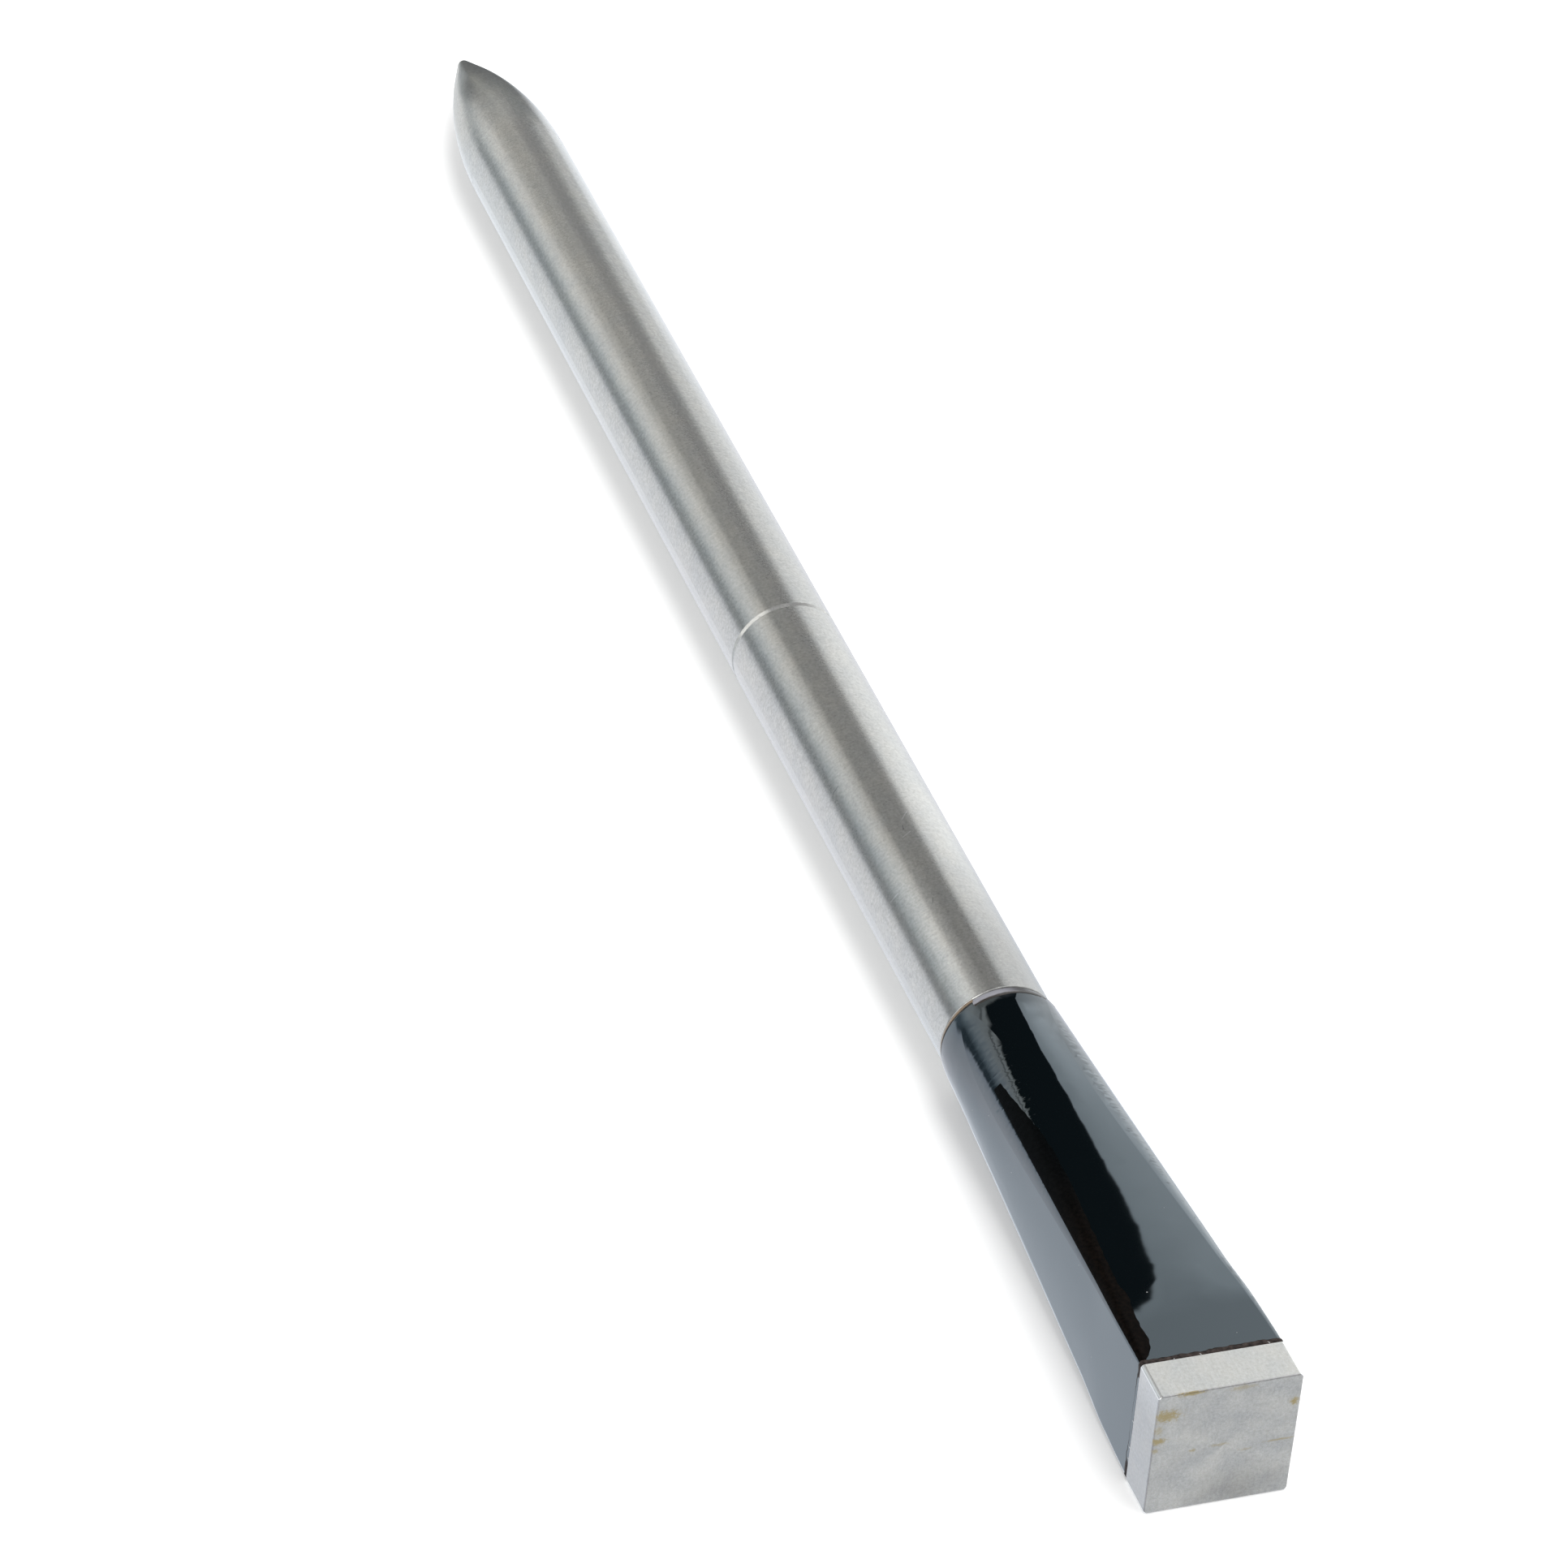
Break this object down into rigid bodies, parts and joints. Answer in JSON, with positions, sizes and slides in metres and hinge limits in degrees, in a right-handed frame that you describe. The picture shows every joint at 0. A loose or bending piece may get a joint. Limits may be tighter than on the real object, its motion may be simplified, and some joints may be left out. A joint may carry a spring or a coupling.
{
  "type": "wireless food thermometer probe",
  "caption": "Slim pointed steel probe with a turned insertion line, a glossy black handle that goes from round to square, and a square steel end cap.",
  "frame": {"origin": "centre of the steel cap's flat end face, on the probe's axis", "axes": "+X along the probe towards its point, +Z square to two of the cap's flat sides, up as the probe lies on a side of its cap"},
  "size_m": [0.13, 0.007, 0.007],
  "materials": {
    "steel": "satin, ground round the shaft, faint heat tarnish on the cap",
    "black_ceramic": "polished gloss",
    "adhesive": "matt, dark brown",
    "filler": "matt",
    "sensor_bead": "glossy bead",
    "lead_wire": "bright drawn wire",
    "insulator": "smooth, waxy",
    "antenna_brass": "drawn tube",
    "amber_film": "smooth film",
    "cell_can": "drawn can",
    "cell_wrap": "shrink film",
    "nickel": "rolled strip",
    "board": "solder mask",
    "chip_body": "moulded",
    "crystal_can": "plated lid",
    "chip_capacitor": "fired body"
  },
  "bodies": {
    "root": {"ambient_sensor": "sensor_bead", "ambient_sensor_leads": "lead_wire", "antenna_tube": "antenna_brass", "battery_cell": "cell_can", "battery_negative_tab": "nickel", "battery_positive_tab": "nickel", "battery_wrap": "cell_wrap", "board_capacitors": "chip_capacitor", "board_inductors": "chip_body", "cap_adhesive": "adhesive", "cap_filler": "filler", "ceramic_handle": "black_ceramic", "charge_chip": "chip_body", "circuit_board": "board", "clock_crystal": "crystal_can", "converter_chip": "chip_body", "end_cap": "steel", "feed_insulator": "insulator", "handle_insulator": "insulator", "insulating_liner": "amber_film", "probe_tip": "steel", "probe_tube": "steel", "radio_chip": "chip_body", "rear_bulkhead": "insulator", "rear_flex": "amber_film", "shaft_contact_spring": "nickel", "storage_capacitor": "chip_capacitor", "tip_filler": "filler", "tip_sensor": "sensor_bead", "tip_sensor_leads": "lead_wire", "tube_adhesive": "adhesive"}
  },
  "joints": []
}
